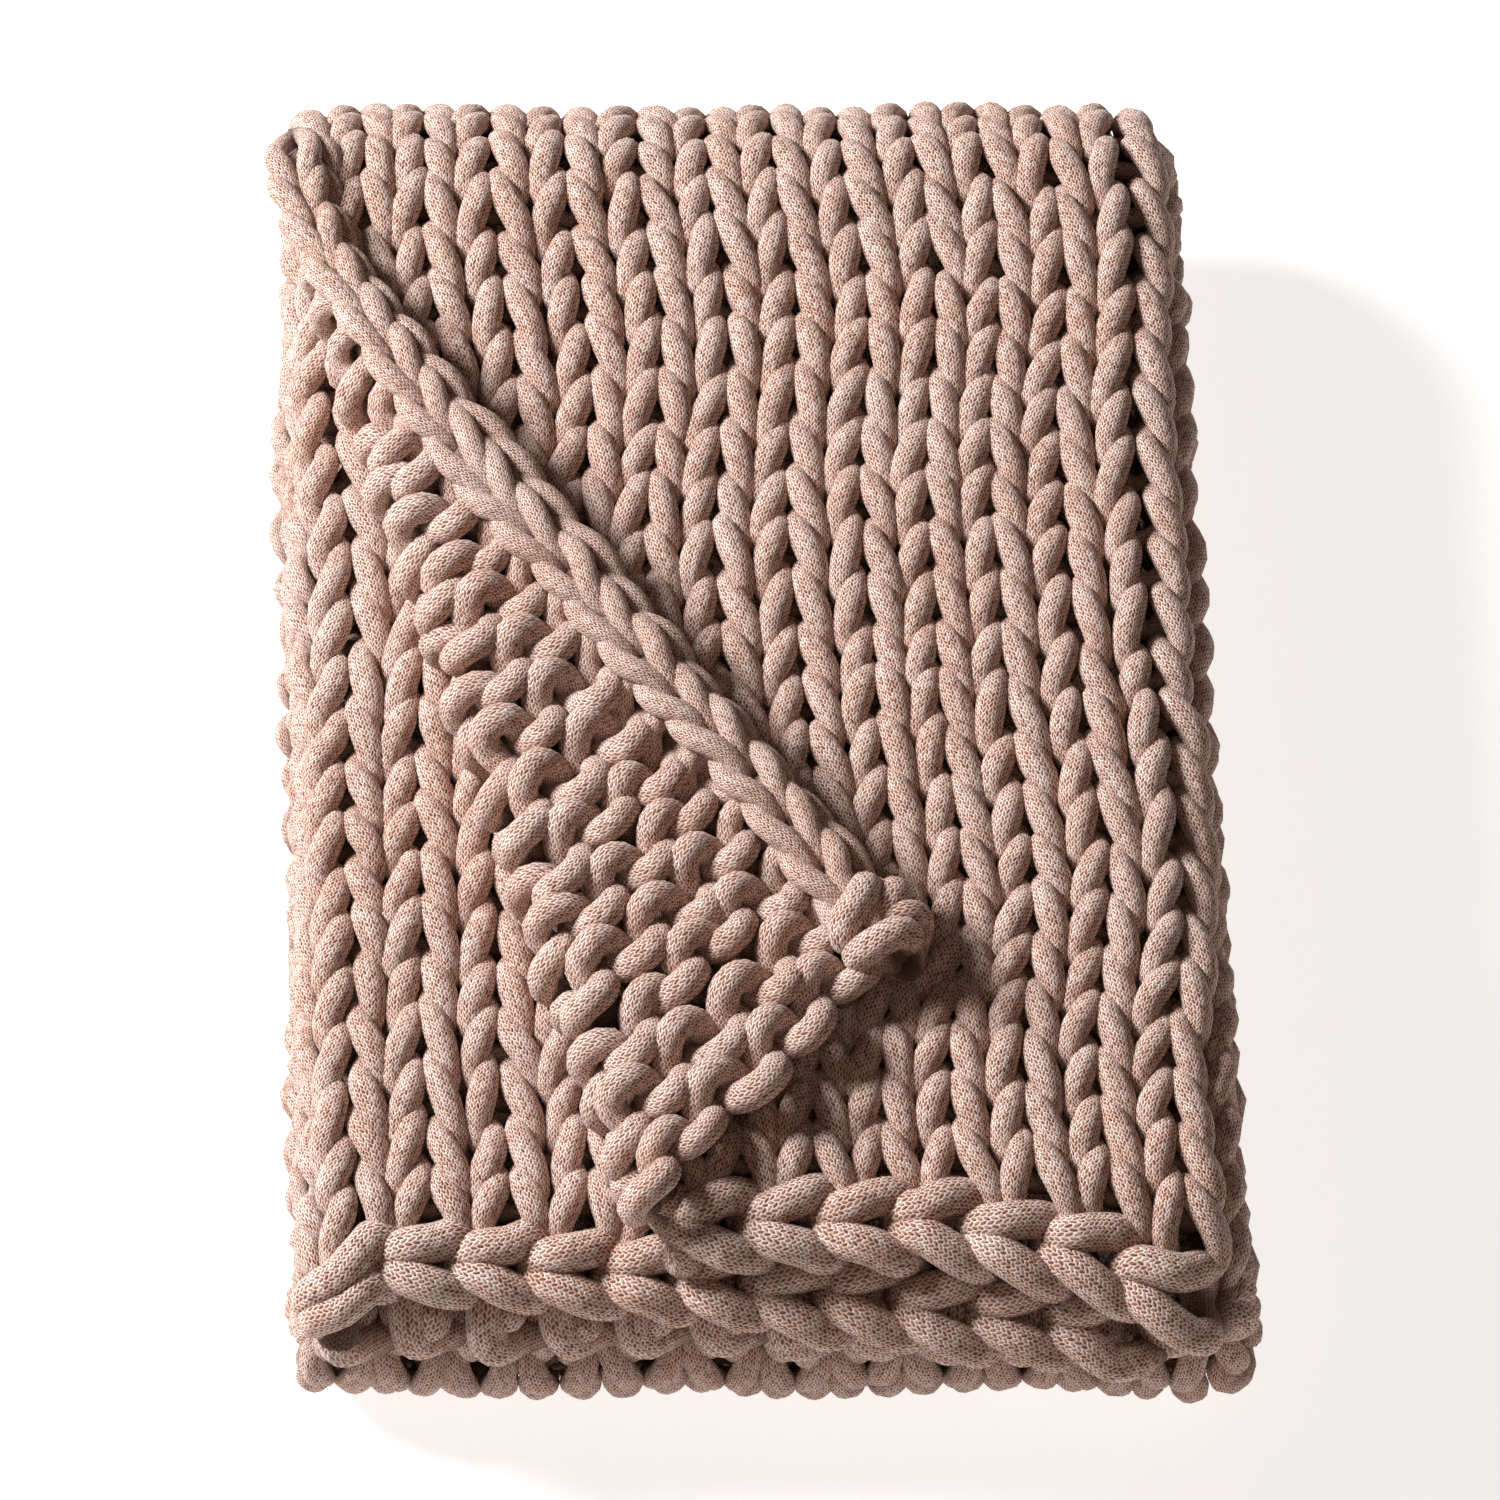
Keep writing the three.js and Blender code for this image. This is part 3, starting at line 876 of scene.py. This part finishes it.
def build_bound_off_edges():
    """The chain runs on round both side folds, so one edge turns into the next."""
    for name, u0, u1 in ZONES:
        mesh = Mesh()
        for k, points in enumerate(chain(u0, u1, LINK_STEPS)):
            keep = np.ones(len(points), bool)
            if name == "face":
                keep = lies_flat(points)
            girth = np.full(len(points), LINK_GIRTH)
            side = side_in_view(points[:, 0])
            sweep(mesh, fold_panel, points, girth, keep, HERO, CHAIN_STRANDS + k, side=side)
        finish_piece(f"bound_off_chain_{name}", mesh, CHAIN_STANDS_FOR[name])


FIRST_CORNER_ROW = -2  # it lies under the edge, and only the far ends of its loops show
CORNER_CHAIN_LIFT = 3  # the corner's chain lies this much further out than the others


def corner_keep(points):
    """True as far as the corner's fabric goes on under its own fold."""
    u, v = points[:, 0], points[:, 1] + CHAIN_REACH
    _, inward = corner_plan(np.maximum(u, ROLL_LENGTH - ROLL_TURN_RADIUS), v)
    return np.where(v < SELVEDGE_LENGTH, inward > CORNER_CUT * BEND_RADIUS, u < ROLL_LENGTH)


def build_corner_knit():
    mesh = Mesh()
    rows = int((SELVEDGE_LENGTH + CORNER_SPARE - CHAIN_REACH) / ROW)
    width = EDGE_LENGTH + ROLL_LENGTH + CORNER_SPARE
    for row in range(FIRST_CORNER_ROW, rows):
        points, girth = course(row, 0.0, width / COLUMN, HERO["per_stitch"], purl_from=ROLL_LENGTH)
        in_roll = points[:, 0] < ROLL_LENGTH
        girth = girth * np.where(in_roll, ROLL_GIRTH, 1.0)
        keep = corner_keep(points)
        if row == FIRST_CORNER_ROW:
            from_middle = points[:, 1] - (row + 0.5) * ROW
            keep &= (from_middle > 0.5 * PURL_HALF_HEIGHT) & (points[:, 0] > ROLL_LENGTH)
        side = np.where(in_roll, 1.0, -1.0)
        sweep(mesh, turn_corner, points, girth, keep, HERO, CORNER_STRANDS + row, side=side)
    finish_piece("turned_corner_knit", mesh, ["turned_corner", "turned_corner_nose", "turned_corner_roll"])


def build_corner_chain():
    """The few links that wrap the corner's tip."""
    mesh = Mesh()
    for k, points in enumerate(chain(0.0, ROLL_LENGTH, LINK_STEPS)):
        points[:, 2] += CORNER_CHAIN_LIFT
        girth = np.full(len(points), LINK_GIRTH * ROLL_GIRTH)
        sweep(mesh, turn_corner, points, girth, corner_keep(points), HERO, CORNER_CHAIN_STRANDS + k)
    finish_piece("turned_corner_chain", mesh, ["turned_corner_edge"])


# Stage, light and camera, in metres

FLOOR_SIZE = 8
FLOOR_COLOUR = (0.6, 0.6, 0.6, 1)
FLOOR_GLOW = (1, 0.985, 0.975, 1)  # lifts the floor to an even, nearly white tone
FLOOR_GLOW_STRENGTH = 0.79
WORLD_COLOUR = (1.0, 0.75, 0.62, 1)
WORLD_STRENGTH = 0.05
LIGHTS_AIM = (0, 0, 0.05)
CAMERA_AIM = (0, -0.004, 0.057)
CAMERA_ELEVATION = math.radians(63)
CAMERA_DISTANCE = 2.8
VIEW_HEIGHT = 0.5175  # of the object's plane that the picture shows
SENSOR = 36.0


def build_stage():
    bpy.ops.mesh.primitive_plane_add(size=FLOOR_SIZE, location=(0, 0, 0))
    floor = bpy.context.object
    floor.name = "floor"
    paper = bpy.data.materials.new("floor_paper")
    paper.use_nodes = True
    shader = paper.node_tree.nodes["Principled BSDF"]
    shader.inputs["Base Color"].default_value = FLOOR_COLOUR
    shader.inputs["Roughness"].default_value = 0.9
    shader.inputs["Emission Color"].default_value = FLOOR_GLOW
    shader.inputs["Emission Strength"].default_value = FLOOR_GLOW_STRENGTH
    floor.data.materials.append(paper)


def aim(thing, target):
    direction = Vector(target) - thing.location
    thing.rotation_euler = direction.to_track_quat("-Z", "Y").to_euler()


def soft_light(name, place, size, power, colour):
    data = bpy.data.lights.new(name, "AREA")
    data.shape = "DISK"
    data.size = size
    data.energy = power
    data.color = colour
    light = bpy.data.objects.new(name, data)
    light.location = place
    bpy.context.scene.collection.objects.link(light)
    aim(light, LIGHTS_AIM)


def build_lights():
    soft_light("key", place=(-1.9, 0.65, 1.6), size=1.0, power=132, colour=(0.95, 1.0, 1.05))
    soft_light("fill", place=(0.2, -1.5, 2.4), size=1.8, power=7, colour=(1.0, 0.8, 0.68))
    world = bpy.data.worlds.new("studio")
    bpy.context.scene.world = world
    world.use_nodes = True
    background = world.node_tree.nodes["Background"]
    background.inputs["Color"].default_value = WORLD_COLOUR
    background.inputs["Strength"].default_value = WORLD_STRENGTH


def build_camera():
    data = bpy.data.cameras.new("camera")
    data.sensor_width = SENSOR
    data.lens = SENSOR * CAMERA_DISTANCE / VIEW_HEIGHT
    camera = bpy.data.objects.new("camera", data)
    target = Vector(CAMERA_AIM)
    back = Vector((0, -math.cos(CAMERA_ELEVATION), math.sin(CAMERA_ELEVATION)))
    camera.location = target + back * CAMERA_DISTANCE
    bpy.context.scene.collection.objects.link(camera)
    aim(camera, target)
    bpy.context.scene.camera = camera
    bpy.context.scene.view_settings.view_transform = "Standard"


build_camera()
build_pile()
build_bound_off_edges()
build_corner_knit()
build_corner_chain()
build_stage()
build_lights()
